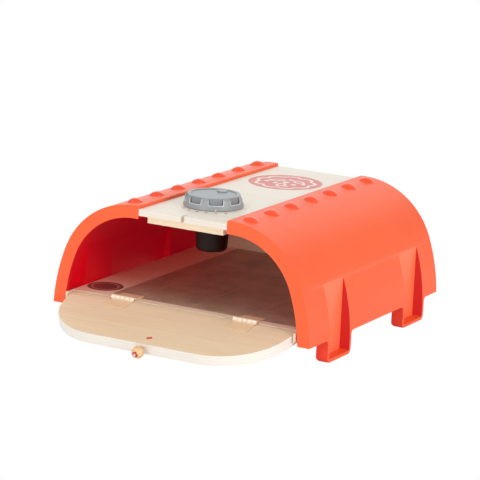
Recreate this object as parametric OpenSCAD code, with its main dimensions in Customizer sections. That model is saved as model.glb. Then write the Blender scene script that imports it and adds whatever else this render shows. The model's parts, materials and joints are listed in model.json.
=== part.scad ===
// Toy oven: two curved plastic shells joined by a plywood top panel, with a
// plywood floor, back and drop-down door, and a clicking dial on the top.
// X runs across, Y runs from the front (-) to the back (+), Z is up.

/* [Shells] */
// Overall width across the two shells
shell_w = 300; // [280:1:330]
// Depth of the shells, front rim to rear rim
shell_d = 298; // [270:1:340]
// Height of the top of the shells above the feet
shell_h = 139; // [134:0.5:150]
// Height of the shells' lower edge above the feet
edge_z = 24; // [20:0.5:28]
// Radius of the shoulder of the arch
shoulder_r = 86; // [80:1:90]
// How far the shoulder arc's centre lies outside the side arc's centre
shoulder_run = 106.704; // [100:0.001:112]
// How far the shoulder arc's centre lies above the side arc's centre
shoulder_rise = 40.128; // [36:0.001:44]
// Wall thickness of the shells
wall = 3; // [2:0.1:3.6]
// Width of the rim that shows at the front and the back
rim_w = 13.5; // [11:0.5:16]
// Thickness of the rim, front to back
rim_t = 4; // [3:0.5:6]

/* [Legs] */
// Width of one leg, front to back
leg_w = 51.5; // [38:0.5:54]
// Distance from the front rim to the front leg
front_leg_y = 41; // [38:0.5:60]
// Distance from the front rim to the rear leg
rear_leg_y = 214.5; // [190:0.5:226]
// Height at which the pocket in a leg starts
pocket_top = 79; // [70:1:86]
// Corner radius at the bottom of a leg
leg_r = 5; // [3:0.5:8]
// Radius of the long inner edge at the bottom of a leg
sole_r = 5; // [3:0.5:6]
// Wall of a leg at the sides and the bottom of its pocket
leg_wall = 3.4; // [2.4:0.1:4.4]
// Wall of a leg behind its pocket
leg_back = 2; // [1.8:0.1:4.4]

/* [Top panel] */
// Width between the two shells, which the panel fills
gap_w = 102.8; // [98:0.2:108]
// Thickness of the top panel
panel_t = 6.8; // [5:0.2:8]
// How far the shells stand above the top panel
panel_drop = 3.2; // [2:0.2:4.2]
// Width of the notch that holds the bead's cord
notch_w = 4; // [3.6:0.1:6]
// Depth of the notch
notch_d = 9; // [8:0.5:12]
// Width of the ledge that carries the panel
ledge_w = 7; // [5:0.5:9]
// Gap between the rear rail's ends and the ledges
rail_gap = 0.4; // [0.2:0.1:3]
// Height of the rails
rail_t = 7.5; // [6:0.5:7.5]
// Depth of the rails, front to back
rail_d = 18; // [12:1:24]
// Distance of a rail from the panel's edge
rail_inset = 6.2; // [6:0.1:9]

/* [Rivets] */
// Number of rivets on one shell
rivet_count = 7; // [5:1:9]
// Diameter of a rivet's head
rivet_dia = 16; // [12:0.5:18]
// Height of a rivet's head
rivet_h = 3.8; // [3:0.2:5]
// Distance of the rivets from the middle of the oven
rivet_x = 67.5; // [64:0.5:72]
// Distance from the rim to the first rivet
rivet_inset = 19.3; // [16:0.5:24]
// Diameter of a rivet's stem
stem_dia = 4; // [3:0.5:6]

/* [Floor and back] */
// Height of the top of the floor
floor_z = 37.2; // [36:0.1:38.4]
// Thickness of the floor
floor_t = 9; // [7:0.5:10]
// Width of the tongues that reach past the door at the floor's front corners
tongue_w = 2; // [1:0.5:2.5]
// Gap between a tongue and the door
tongue_gap = 0.4; // [0.3:0.1:1]
// Thickness of the back panel
back_t = 6; // [4:0.5:8]
// Reach of the brackets that carry the floor
bracket_l = 20; // [14:1:28]
// Thickness of those brackets
bracket_t = 3; // [2:0.2:4]

/* [Door] */
// Gap between the shut door and the front rail above it
door_top_gap = 1.6; // [1:0.1:4]
// Gap between the shut door and the rims at its hinge
door_side_gap = 3.4; // [3.4:0.1:8]
// Thickness of the door
door_t = 11; // [9:0.2:11.4]
// Corner radius of the door
door_corner_r = 67; // [60:1:70]
// How far the corner arc's centre lies outside the side arc's centre
door_run = 100.8; // [94:0.1:106]
// How far the corner arc's centre lies beyond the side arc's centre
door_rise = 25.6; // [20:0.1:32]
// Angle that the open door hangs below level
door_drop = 12.4; // [6:0.2:15]
// Distance of the hinge line behind the front rim
hinge_y = 10.3; // [9:0.1:12]
// Height of the hinge pin above the floor
hinge_lift = 0.4; // [0.2:0.1:1]
// How far the open door's face lies lower than the floor
door_step = 0.6; // [0:0.1:1.2]

/* [Hinges] */
// Distance of a hinge from the middle of the oven
hinge_x = 71.5; // [56:0.5:84]
// Width of a hinge leaf
leaf_w = 25; // [20:0.2:26]
// Length of a hinge leaf, from the pin
leaf_l = 20; // [15:0.5:24]
// Thickness of a hinge leaf
leaf_t = 2; // [1.6:0.1:2.4]
// How far a leaf stands above the wood
leaf_proud = 0.7; // [0.2:0.1:0.8]
// Gap round a leaf in its recess
leaf_gap = 0.5; // [0.1:0.1:0.8]
// Length of a hinge barrel
barrel_l = 27.5; // [27:0.5:34]
// Diameter of a hinge barrel
barrel_dia = 5; // [4.6:0.1:5.6]
// Diameter of a hinge pin
pin_dia = 2.4; // [1.8:0.1:2.8]
// Number of knuckles on a hinge
knuckles = 5; // [5:2:7]
// Gap between two knuckles
knuckle_gap = 0.5; // [0.2:0.1:0.8]

/* [Bead and cord] */
// Diameter of the bead
bead_dia = 12.4; // [10:0.2:14]
// Gap between the door's edge and the bead
bead_gap = 2.6; // [2:0.2:6]
// Diameter of the elastic cord
cord_dia = 2.4; // [2:0.1:3]
// Distance of the knot's hole from the door's free edge
knot_inset = 13.5; // [10:0.5:16]
// Diameter of a knot in the cord
knot_dia = 5; // [4:0.2:6]

/* [Dial] */
// Distance of the dial from the panel's front edge
dial_y = 66; // [60:1:80]
// Offset of the dial from the middle of the panel
dial_x = -2; // [-4:0.5:4]
// Diameter of the dial at its foot
dial_dia = 62; // [56:0.5:66]
// Diameter of the dial at its top
dial_top_dia = 55; // [50:0.5:58]
// Height of the dial
dial_h = 12.4; // [10:0.2:16]
// Height of the dial above the panel
dial_lift = 0.5; // [0.3:0.1:1]
// Number of finger notches round the dial
grips = 8; // [6:1:10]
// Width of a finger notch
grip_w = 15; // [8:0.5:16]
// Depth of a finger notch, from the foot of the dial
grip_deep = 4.2; // [3:0.1:5]
// Height of a finger notch's bottom above the foot of the dial
grip_z = 5.4; // [3:0.2:8]
// Angle of the first finger notch
grip_turn = 34; // [0:1:45]
// Diameter of the round bump on the dial
bump_dia = 11; // [6:0.5:14]
// Diameter of the dial's shaft
shaft_dia = 7; // [6:0.2:8]

/* [Clicker] */
// Diameter of the clicker's housing at its top
housing_dia = 37; // [34:0.5:40]
// Depth of the housing below the panel
housing_h = 39; // [32:1:44]
// Wall of the housing
housing_wall = 2; // [1.6:0.1:2.6]
// Diameter of the click wheel
wheel_dia = 24; // [18:0.5:25]
// Number of clicks in one turn
clicks = 22; // [18:1:28]

/* [Screws] */
// Shank diameter of the wood screws
screw_dia = 3; // [2.5:0.1:3.4]
// Head diameter of the wood screws
head_dia = 6; // [5:0.2:6.4]
// Head height of the wood screws
head_h = 1.8; // [1.4:0.1:2.4]

/* [Hidden] */
$fn = 96;

// Gap round a piece that sits in another, seat of a screw or peg, play of a turning shaft,
// room under the bead of the shut door
fit = 0.3;
seat = 0.05;
play = 0.05;
bead_rest = 0.9;
eps = 0.01;
big = 2*shell_w;

// Heights and places that pieces share
panel_top = shell_h - panel_drop;
panel_z = panel_top - panel_t;
rim_z = shell_h - rim_w;
ledge_x = gap_w/2 - ledge_w;
rail_w = 2*(ledge_x - rail_gap);
ledge_y = rail_inset + rail_d + 2;
floor_under = floor_z - floor_t;
back_y = shell_d - rim_t - back_t;
rivet_pitch = (shell_d - 2*rivet_inset)/(rivet_count - 1);

// Arc centres of the shells' arch, and how far out its side reaches at height z
side_r = shoulder_r + norm([shoulder_run, shoulder_rise]);
shoulder_c = [shell_w/2 - side_r + shoulder_run, shell_h - shoulder_r];
side_c = shoulder_c - [shoulder_run, shoulder_rise];
function arch_x(z) = side_c[0] + sqrt(side_r*side_r - pow(z - side_c[1], 2));
pocket_x = arch_x(pocket_top);
leg_x = pocket_x - leg_back;

// Hinge line and the door round it; the boards' edges meet below when the door is open.
// Half of the door's width is a whole number of tenths, so that its arcs stay exact
hinge_z = floor_z + hinge_lift;
door_l = panel_z - rail_t - door_top_gap - hinge_z;
door_half = round(10*(arch_x(hinge_z) - rim_w - door_side_gap))/10;
door_under = hinge_lift + door_step + door_t;
board_gap = (door_under*sin(door_drop) + 0.1)/(1 + cos(door_drop));
floor_half = door_half + tongue_gap + tongue_w;
bracket_x = floor_half - 8;
knuckle_l = barrel_l/knuckles;
leaf_near = barrel_dia/2 + fit;
link_l = leaf_near + 1;
peg_dia = 3;
peg_l = 3.5;
peg_y = leaf_l*0.7;
pin_l = barrel_l - 0.6;

// Bead and knots, measured from the hinge line along the door and below it
cord_depth = door_under - door_t/2;
bead_at = door_l + bead_gap + bead_dia/2;
outer_knot_at = bead_at + bead_dia/2 - knot_dia/4;
inner_knot_at = door_l - knot_inset;
inner_knot_z = cord_dia/2 + fit + knot_dia/2 - cord_depth;
// How far the cord stretches to bring the bead on top of the panel when the door is shut
bead_pull = panel_top + bead_rest - (hinge_z + door_l + bead_gap);
cord_bore_l = knot_inset + bead_pull + 8;

// Lowest Y of the open door's bead and knot, so that the origin lies under the middle
function door_y(along, below) = hinge_y - along*cos(door_drop) + below*sin(door_drop);
front_y = min(door_y(bead_at, cord_depth) - bead_dia/2,
    door_y(outer_knot_at, cord_depth) - knot_dia/2);
mid_y = (shell_d + front_y)/2;

// Dial and clicker, from the panel down
bush_dia = shaft_dia + 4;
bush_flange_t = 1;
collar_t = 1.2;
wheel_t = 5;
notch_r = wheel_dia*PI/clicks*0.35;
wheel_z = panel_z - fit - collar_t - wheel_t;
housing_z = panel_z - housing_h;
housing_draft = 2.5;
flange_r = housing_dia/2 + 7;
flange_t = 2;
lug_r = housing_dia/2 + 3.5;
spring_t = 0.8;
spring_h = 4;
spring_y = wheel_dia/2 + fit + 1;
spring_half = 7;
shaft_top = panel_top + dial_lift + dial_h - 3;
dial_wall = 2;
dial_dish = 0.8;
bump_h = 1.2;
bump_r = 16;

// Screws: how far a shank goes into the panel, the whole shanks of the floor's and the
// back's screws, and the distance of the outer panel screws from a ledge's ends
bite = panel_t - 1.5;
floor_screw_l = bracket_t + floor_t - 3;
back_screw_l = rim_t - head_h + back_t - 1;
screw_end = 12;

// Outline with a flat top, shoulder arcs and side arcs; a shoulder arc's centre lies
// run outside and rise above its side arc's centre, and inset moves the outline's edge in.
// The side arcs run on below z = 0
module arched(height, half, r1, run, rise, inset = 0) {
    r2 = r1 + norm([run, rise]);
    c1 = [half - r2 + run, height - r1];
    for (side = [0, 1]) mirror([side, 0]) {
        square([c1[0], height - inset]);
        intersection() {
            translate(c1 - [run, rise]) circle(r2 - inset, $fn = 240);
            translate(c1) rotate(atan2(rise, run)) translate([-big, -big]) square([2*big, big]);
            translate([c1[0], -big/2]) square(big);
        }
        intersection() {
            translate(c1) circle(r1 - inset, $fn = 240);
            translate(c1) rotate(atan2(rise, run)) translate([-big, 0]) square([2*big, big]);
            translate([c1[0], 0]) square(big);
        }
    }
}

// The arch of the shells, with its edge moved in by inset
module arch(inset = 0) {
    arched(shell_h, shell_w/2, shoulder_r, shoulder_run, shoulder_rise, inset);
}

// The part of the arch that the right shell takes up
module half_arch() {
    intersection() {
        arch();
        translate([gap_w/2, edge_z]) square(big);
    }
}

// Stands a profile drawn across (x, z) up, from y = from to y = to
module along_y(from, to) {
    translate([0, to, 0]) rotate([90, 0, 0]) linear_extrude(to - from) children();
}

// Lays a profile drawn across (y, z) along x, from x = from to x = to
module along_x(from, to) {
    translate([from, 0, 0]) rotate([90, 0, 90]) linear_extrude(to - from) children();
}

// Moves what is drawn with y = 0 at the front rim so that the origin lies mid-way
module place() {
    translate([0, -mid_y, 0]) children();
}

// Puts what is drawn level, with the hinge line along x at the origin, on the open door
module on_door() {
    place() translate([0, hinge_y, hinge_z]) rotate([door_drop, 0, 0]) children();
}

// The same on the floor
module on_floor() {
    place() translate([0, hinge_y, hinge_z]) children();
}

// Rectangle with round corners, made of discs and bars
module rounded(w, h, r) {
    translate([r, 0]) square([w - 2*r, h]);
    translate([0, r]) square([w, h - 2*r]);
    for (x = [r, w - r], y = [r, h - r]) translate([x, y]) circle(r, $fn = 32);
}

// Wood screw that points up from its seat at z = 0, with a cross slot in its head
module screw(length) {
    difference() {
        union() {
            translate([0, 0, -head_h]) cylinder(head_h, d = head_dia);
            cylinder(length, d = screw_dia);
        }
        for (turn = [0, 90]) rotate(turn)
            translate([-head_dia*0.3, -0.4, -head_h - eps]) cube([head_dia*0.6, 0.8, 0.8]);
    }
}

module screw_hole(length) {
    translate([0, 0, -eps]) cylinder(length + 0.5, d = screw_dia + 2*seat);
}

// Screw places: each module puts its children at every place of one kind of screw
module at_panel_screws() {
    for (side = [-1, 1], i = [0 : 3])
        translate([side*(ledge_x + ledge_w/2),
            ledge_y + screw_end + i*(back_y - ledge_y - 2*screw_end)/3, panel_z - wall]) children();
}

module at_rail_screws() {
    for (x = [-rail_w/3, 0, rail_w/3], y = [rail_inset + rail_d/2, back_y - fit - rail_d/2])
        translate([x, y, panel_z - rail_t]) children();
}

module at_floor_screws() {
    for (side = [-1, 1], y = [front_leg_y, rear_leg_y], shift = [0.25, 0.75])
        translate([side*bracket_x, y + leg_w*shift, floor_under - bracket_t]) children();
}

module at_housing_screws() {
    for (turn = [90, 210, 330])
        translate([dial_x, dial_y, panel_z - flange_t]) rotate(turn)
            translate([lug_r, 0, 0]) children();
}

module at_back_screws() {
    depth = (wall + fit + rim_w)/2;
    for (side = [0, 1]) mirror([side, 0, 0]) {
        for (turn = [8, 38, 66])
            translate([shoulder_c[0] + (shoulder_r - depth)*sin(turn), shell_d - head_h,
                shoulder_c[1] + (shoulder_r - depth)*cos(turn)])
                rotate([90, 0, 0]) children();
        translate([side_c[0] + (side_r - depth)*sin(83), shell_d - head_h,
            side_c[1] + (side_r - depth)*cos(83)]) rotate([90, 0, 0]) children();
    }
}

// Rivet places on the right shell, z along the outward normal
module at_rivets() {
    turn = asin((rivet_x - shoulder_c[0])/shoulder_r);
    for (i = [0 : rivet_count - 1])
        translate([shoulder_c[0], rivet_inset + i*rivet_pitch, shoulder_c[1]])
            rotate([0, turn, 0]) translate([0, 0, shoulder_r]) children();
}

// ---- Shells ----

// Leg seen from the side
module leg_outline() {
    rounded(leg_w, pocket_top + leg_wall, leg_r);
}

// Round inner corners between a leg and the shell's lower edge, seen from the side
module leg_fillets() {
    for (side = [0, 1]) translate([side*leg_w, edge_z]) mirror([1 - side, 0]) difference() {
        translate([-eps, -leg_r]) square(leg_r + eps);
        translate([leg_r, -leg_r]) circle(leg_r, $fn = 32);
    }
}

// What the round inner edge leaves out at the bottom of a leg, seen from the front
module sole_corner() {
    turn = sole_r - 0.05;
    translate([leg_x, 0]) difference() {
        translate([-1, -1]) square(turn + 1);
        translate([turn, turn]) circle(sole_r, $fn = 32);
    }
}

module leg() {
    intersection() {
        along_x(leg_x, shell_w/2 + 1) leg_outline();
        along_y(-1, leg_w + 1) difference() {
            arch();
            sole_corner();
        }
    }
    intersection() {
        along_x(leg_x, shell_w/2 + 1) leg_fillets();
        along_y(-2*leg_r, leg_w + 2*leg_r) difference() {
            arch();
            arch(wall);
        }
    }
    // Bracket that carries the floor
    translate([leg_x - bracket_l, 3, floor_under - bracket_t])
        cube([bracket_l + 1, leg_w - 6, bracket_t]);
}

module leg_pocket() {
    along_x(pocket_x, shell_w/2 + 5) translate([leg_wall, leg_wall])
        rounded(leg_w - 2*leg_wall, pocket_top + 6, 2);
}

module shell() {
    difference() {
        union() {
            difference() {
                along_y(0, shell_d) half_arch();
                along_y(rim_t, shell_d - rim_t) arch(wall);
                along_y(-1, shell_d + 1) arch(rim_w);
            }
            // Web beside the top panel, and the ledge that carries it
            translate([gap_w/2, 0, rim_z]) cube([wall, shell_d, rim_w - wall/2]);
            translate([ledge_x, ledge_y, panel_z - wall])
                cube([ledge_w + wall, back_y - fit - ledge_y, wall]);
            for (y = [front_leg_y, rear_leg_y]) translate([0, y, 0]) leg();
        }
        for (y = [front_leg_y, rear_leg_y]) translate([0, y, 0]) leg_pocket();
        at_rivets() translate([0, 0, -2*wall]) cylinder(4*wall, d = stem_dia + 2*seat);
        at_panel_screws() screw_hole(wall + 1);
        at_floor_screws() screw_hole(bracket_t + 1);
        at_back_screws() {
            screw_hole(rim_t + 1);
            translate([0, 0, -head_h - 1]) cylinder(head_h + 1, d = head_dia + 2*seat);
        }
    }
}

module left_shell() color([1, 0.41, 0.26]) place() mirror([1, 0, 0]) shell();
module right_shell() color([1, 0.41, 0.26]) place() shell();

// Domed heads that sit on the shell, each with a stem through the wall
module rivets() {
    dome_r = (pow(rivet_dia/2, 2) + pow(rivet_h, 2))/(2*rivet_h);
    difference() {
        at_rivets() intersection() {
            translate([0, 0, rivet_h - dome_r]) sphere(dome_r);
            translate([0, 0, -1]) cylinder(rivet_h + 2, d = rivet_dia);
        }
        along_y(-1, shell_d + 1) arch();
    }
    at_rivets() translate([0, 0, -wall - 1.5]) cylinder(wall + 1.5 + rivet_h/2, d = stem_dia);
}

module left_rivets() color([1, 0.33, 0.2]) place() mirror([1, 0, 0]) rivets();
module right_rivets() color([1, 0.33, 0.2]) place() rivets();

// ---- Boards ----

module top_panel() color([0.94, 0.91, 0.86]) place() difference() {
    translate([-gap_w/2 + fit, 0, panel_z]) cube([gap_w - 2*fit, shell_d, panel_t]);
    translate([-notch_w/2, -1, panel_z - 1]) cube([notch_w, notch_d + 1, panel_t + 2]);
    translate([dial_x, dial_y, panel_z - 1]) cylinder(panel_t + 2, d = bush_dia + 2*seat);
    at_panel_screws() screw_hole(wall + bite);
    at_rail_screws() screw_hole(rail_t + bite);
    at_housing_screws() screw_hole(flange_t + bite);
}

module rail(y) {
    place() difference() {
        translate([-rail_w/2, y, panel_z - rail_t]) cube([rail_w, rail_d, rail_t]);
        at_rail_screws() screw_hole(rail_t + 1);
    }
}

module front_rail() color([0.98, 0.9, 0.78]) rail(rail_inset);
module rear_rail() color([0.98, 0.9, 0.78]) rail(back_y - fit - rail_d);

// Board as deep as the oven; its front edge stands back from the hinge line, and a tongue
// at each front corner reaches as far forward as the shut door
module floor_panel() color([0.55, 0.47, 0.4]) difference() {
    between = floor_half - tongue_w;
    place() translate([0, hinge_y, floor_under]) linear_extrude(floor_t) difference() {
        translate([-floor_half, -door_under]) square([2*floor_half, back_y - hinge_y + door_under]);
        translate([-between, -door_under - 1]) square([2*between, door_under + 1 + board_gap]);
    }
    on_floor() at_hinges() leaf_recess(0);
    place() at_floor_screws() screw_hole(floor_screw_l);
}

// Arch-shaped board behind the floor, held by the rear rims
module back_panel() color([0.93, 0.87, 0.77]) place() difference() {
    along_y(back_y, back_y + back_t) intersection() {
        arch(wall + fit);
        difference() {
            translate([-big/2, edge_z]) square([big, panel_z - edge_z + big]);
            translate([-ledge_x, panel_z - fit]) square([2*ledge_x, big]);
            for (side = [0, 1]) mirror([side, 0])
                translate([ledge_x - eps, rim_z - fit]) square([ledge_w + wall + fit, big]);
        }
    }
    at_back_screws() screw_hole(back_screw_l);
}

// Arch-shaped door, drawn level with its free edge towards -y
module door() color([0.91, 0.81, 0.7]) on_door() difference() {
    translate([0, 0, -door_under]) linear_extrude(door_t) mirror([0, 1]) difference() {
        arched(door_l, door_half, door_corner_r, door_run, door_rise);
        translate([-big/2, board_gap - big]) square(big);
    }
    rotate(180) at_hinges() leaf_recess(door_step);
    translate([0, -door_l - 1, -cord_depth]) rotate([-90, 0, 0])
        cylinder(cord_bore_l + 1, d = cord_dia + 2*play);
    translate([0, -inner_knot_at, -cord_depth - cord_dia]) cylinder(door_t, d = knot_dia + 2*seat);
}

// ---- Hinges: the hinge line is x, a leaf reaches towards +y ----

module at_hinges() {
    for (side = [-1, 1]) translate([side*hinge_x, 0, 0]) children();
}

// Height of a leaf's top over the hinge line, for a board whose face lies lower by step
function leaf_top(step) = leaf_proud - hinge_lift - step;

// Room for a leaf, its pegs and the whole barrel in the wood
module leaf_recess(step) {
    translate([-leaf_w/2 - leaf_gap, 0, leaf_top(step) - leaf_t])
        cube([leaf_w + 2*leaf_gap, leaf_l + leaf_gap, leaf_t + 1]);
    translate([-barrel_l/2 - leaf_gap, 0, leaf_top(step) - leaf_t])
        cube([barrel_l + 2*leaf_gap, link_l + leaf_gap, leaf_t + 1]);
    rotate([0, 90, 0]) cylinder(barrel_l + 2*leaf_gap, d = barrel_dia + 1.4, center = true);
    for (x = [-1, 1]) translate([x*leaf_w/4, peg_y, leaf_top(step) - leaf_t - peg_l - 0.5])
        cylinder(peg_l + 1, d = peg_dia + 2*seat);
}

// A plate with pegs that press into the wood, and every second knuckle from the first
module leaf(first, step) {
    knuckle = knuckle_l - knuckle_gap;
    difference() {
        union() {
            translate([-leaf_w/2, leaf_near, leaf_top(step) - leaf_t])
                cube([leaf_w, leaf_l - leaf_near, leaf_t]);
            for (x = [-1, 1]) translate([x*leaf_w/4, peg_y, leaf_top(step) - leaf_t - peg_l])
                cylinder(peg_l + 0.5, d = peg_dia);
            for (i = [first : 2 : knuckles - 1])
                translate([-barrel_l/2 + i*knuckle_l + knuckle_gap/2, 0, 0]) {
                    rotate([0, 90, 0]) cylinder(knuckle, d = barrel_dia);
                    translate([0, 0, leaf_top(step) - leaf_t]) cube([knuckle, link_l, leaf_t]);
                }
        }
        rotate([0, 90, 0]) cylinder(barrel_l + 2, d = pin_dia + 2*(first == 0 ? eps : play),
            center = true);
    }
}

module left_floor_leaf() color([0.98, 0.88, 0.74]) on_floor() translate([-hinge_x, 0, 0]) leaf(0, 0);
module right_floor_leaf() color([0.98, 0.88, 0.74]) on_floor() translate([hinge_x, 0, 0]) leaf(0, 0);
module left_door_leaf() color([0.98, 0.88, 0.74])
    on_door() translate([-hinge_x, 0, 0]) rotate(180) leaf(1, door_step);
module right_door_leaf() color([0.98, 0.88, 0.74])
    on_door() translate([hinge_x, 0, 0]) rotate(180) leaf(1, door_step);

module hinge_pin(x) {
    on_floor() translate([x, 0, 0]) rotate([0, 90, 0])
        cylinder(pin_l, d = pin_dia, center = true);
}

module left_hinge_pin() color([0.8, 0.8, 0.8]) hinge_pin(-hinge_x);
module right_hinge_pin() color([0.8, 0.8, 0.8]) hinge_pin(hinge_x);

// ---- Bead and elastic cord ----

// Puts what is drawn along +z from the hinge line on the cord's line in the open door
module on_cord() {
    on_door() translate([0, 0, -cord_depth]) rotate([90, 0, 0]) children();
}

// The bore is wider at the outer end, where the knot sits in it
module bead() color([0.89, 0.72, 0.5]) on_cord() difference() {
    translate([0, 0, bead_at]) sphere(d = bead_dia);
    translate([0, 0, bead_at - bead_dia]) cylinder(2*bead_dia, d = cord_dia + 2*seat);
    translate([0, 0, outer_knot_at - knot_dia/2]) cylinder(bead_dia, d = knot_dia + 2*seat);
}

// The cord slides out of its bore by as much as it stretches; it ends in the outer knot
module elastic_cord() color([0.85, 0.2, 0.16]) on_cord()
    translate([0, 0, door_l - cord_bore_l + 2])
        cylinder(outer_knot_at - door_l + cord_bore_l - 2, d = cord_dia);

module outer_knot() color([0.85, 0.2, 0.16]) on_cord() difference() {
    translate([0, 0, outer_knot_at]) sphere(d = knot_dia);
    translate([0, 0, bead_at]) cylinder(outer_knot_at - bead_at, d = cord_dia + 2*eps);
}

module inner_knot() color([0.85, 0.2, 0.16])
    on_door() translate([0, -inner_knot_at, inner_knot_z]) sphere(d = knot_dia);

// ---- Dial and clicker ----

module on_dial(z) {
    place() translate([dial_x, dial_y, z]) children();
}

module dial() color([0.66, 0.7, 0.72]) on_dial(panel_top + dial_lift) {
    foot_r = dial_dia/2;
    top_r = dial_top_dia/2;
    hub_r = shaft_dia/2 + 3.5;
    difference() {
        rotate_extrude($fn = 192) difference() {
            polygon([[0, 0], [foot_r, 0], [foot_r, 1.5], [top_r + 2, dial_h - 2.6],
                [top_r + 0.3, dial_h - 0.3], [top_r - 0.5, dial_h], [top_r - 3.5, dial_h],
                [top_r - 4.7, dial_h - dial_dish], [0, dial_h - dial_dish]]);
            translate([hub_r, -1])
                square([foot_r - grip_deep - dial_wall - hub_r, dial_h - dial_dish - dial_wall + 1]);
            translate([-1, -1]) square([hub_r + 1.01, bush_flange_t + 1]);
        }
        for (i = [0 : grips - 1]) rotate(grip_turn + i*360/grips)
            translate([foot_r - grip_deep, -grip_w/2, grip_z]) along_x(0, grip_deep + 1)
                rounded(grip_w, dial_h, 1.6);
        translate([0, 0, -1]) cylinder(shaft_top - panel_top - dial_lift + 1, d = shaft_dia + 2*eps);
    }
    // Round bump near the back of the dished top
    rotate(87) translate([bump_r, 0, dial_h - dial_dish - 0.2]) cylinder(bump_h + 0.2, d = bump_dia);
}

module dial_shaft() color([0.75, 0.75, 0.76]) on_dial(0) {
    translate([0, 0, housing_z + 2]) cylinder(shaft_top - housing_z - 2, d = shaft_dia);
    translate([0, 0, panel_z - fit - collar_t]) cylinder(collar_t, d = bush_dia - 1);
}

module shaft_bush() color([0.92, 0.9, 0.85]) on_dial(panel_z) difference() {
    union() {
        cylinder(panel_t, d = bush_dia);
        translate([0, 0, panel_t]) cylinder(bush_flange_t - 0.2, d = bush_dia + 3);
    }
    translate([0, 0, -1]) cylinder(panel_t + 3, d = shaft_dia + 2*play);
}

// Round notches leave a tooth at each of their gaps, so that the spring clicks
module click_wheel() color([0.9, 0.88, 0.82]) on_dial(wheel_z) linear_extrude(wheel_t)
    difference() {
        circle(d = wheel_dia);
        circle(d = shaft_dia + 2*eps);
        for (i = [0 : clicks - 1]) rotate((i + 0.5)*360/clicks)
            translate([wheel_dia/2 + 0.3, 0]) circle(notch_r, $fn = 24);
    }

// Leaf spring across the housing; its nose clicks over the wheel's teeth
module click_spring() color([0.8, 0.8, 0.82]) on_dial(wheel_z + (wheel_t - spring_h)/2) {
    translate([-spring_half, spring_y, 0]) cube([2*spring_half, spring_t, spring_h]);
    intersection() {
        translate([0, spring_y, 0]) cylinder(spring_h, r = 1, $fn = 48);
        translate([-2, spring_y - 2, 0]) cube([4, 2 + spring_t/2, spring_h]);
    }
}

module clicker_housing() color([0.24, 0.19, 0.19]) on_dial(housing_z) {
    top_r = housing_dia/2;
    low_r = top_r - housing_draft;
    floor_h = 2;
    difference() {
        rotate_extrude() {
            polygon([[0, 0], [low_r - 2, 0], [low_r, 2], [top_r, housing_h - flange_t],
                [flange_r, housing_h - flange_t], [flange_r, housing_h],
                [top_r - housing_wall, housing_h], [low_r - housing_wall, floor_h],
                [shaft_dia/2 + 2.5, floor_h], [shaft_dia/2 + 2.5, 8], [0, 8]]);
        }
        translate([0, 0, 1.5]) cylinder(10, d = shaft_dia + 2*play);
        translate([-dial_x, -dial_y, -housing_z]) at_housing_screws() screw_hole(flange_t + 1);
    }
    // Two posts behind the ends of the click spring
    for (side = [-1, 1]) intersection() {
        translate([side*(spring_half - 1.5) - 1.5, spring_y + spring_t, 10])
            cube([3, 6, housing_h - 10 - fit]);
        rotate_extrude() polygon([[0, 1], [low_r - 1, 1], [top_r - 1, housing_h], [0, housing_h]]);
    }
}

// ---- Screws ----

module housing_screws() color("silver") place() at_housing_screws() screw(flange_t + bite);
module panel_screws() color("silver") place() at_panel_screws() screw(wall + bite);
module rail_screws() color("silver") place() at_rail_screws() screw(rail_t + bite);
module floor_screws() color("silver") place() at_floor_screws() screw(floor_screw_l);
module back_screws() color("silver") place() at_back_screws() screw(back_screw_l);

left_shell();
right_shell();
left_rivets();
right_rivets();
top_panel();
front_rail();
rear_rail();
floor_panel();
back_panel();
door();
left_floor_leaf();
right_floor_leaf();
left_door_leaf();
right_door_leaf();
left_hinge_pin();
right_hinge_pin();
bead();
elastic_cord();
outer_knot();
inner_knot();
dial();
dial_shaft();
shaft_bush();
click_wheel();
click_spring();
clicker_housing();
housing_screws();
panel_screws();
rail_screws();
floor_screws();
back_screws();
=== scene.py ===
import json
import math

import bmesh
import bpy
import numpy as np
from mathutils import Matrix, Vector


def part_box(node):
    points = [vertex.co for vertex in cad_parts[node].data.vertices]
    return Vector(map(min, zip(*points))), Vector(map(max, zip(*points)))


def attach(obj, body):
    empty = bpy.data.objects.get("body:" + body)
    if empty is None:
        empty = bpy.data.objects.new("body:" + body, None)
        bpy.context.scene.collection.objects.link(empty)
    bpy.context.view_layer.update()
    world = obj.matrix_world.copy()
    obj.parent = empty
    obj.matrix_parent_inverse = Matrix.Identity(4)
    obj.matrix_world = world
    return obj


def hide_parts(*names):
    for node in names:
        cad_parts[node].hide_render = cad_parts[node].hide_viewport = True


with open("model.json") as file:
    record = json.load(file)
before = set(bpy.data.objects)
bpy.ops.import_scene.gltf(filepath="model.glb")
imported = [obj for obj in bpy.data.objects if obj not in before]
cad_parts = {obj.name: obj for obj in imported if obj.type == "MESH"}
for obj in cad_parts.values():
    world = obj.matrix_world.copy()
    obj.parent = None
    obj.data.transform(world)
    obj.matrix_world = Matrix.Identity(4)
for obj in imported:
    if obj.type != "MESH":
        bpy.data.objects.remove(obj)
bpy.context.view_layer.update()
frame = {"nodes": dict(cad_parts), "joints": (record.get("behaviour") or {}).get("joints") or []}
mm = 0.001

# places that several pieces share
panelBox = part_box("top_panel")
panelTop = panelBox[1].z
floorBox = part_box("floor_panel")
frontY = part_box("right_shell")[0].y         # the rims' front plane
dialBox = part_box("dial")
dialAxis = (dialBox[0] + dialBox[1]) / 2
hinge = [j for j in frame["joints"] if j["name"] == "door_hinge"][0]
hingePoint = Vector(hinge["pos_m"])
doorDrop = math.radians(hinge["range_deg"][1] - 90)   # the open door hangs this far below level
print("frame loaded:", len(frame["nodes"]), "nodes")

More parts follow.
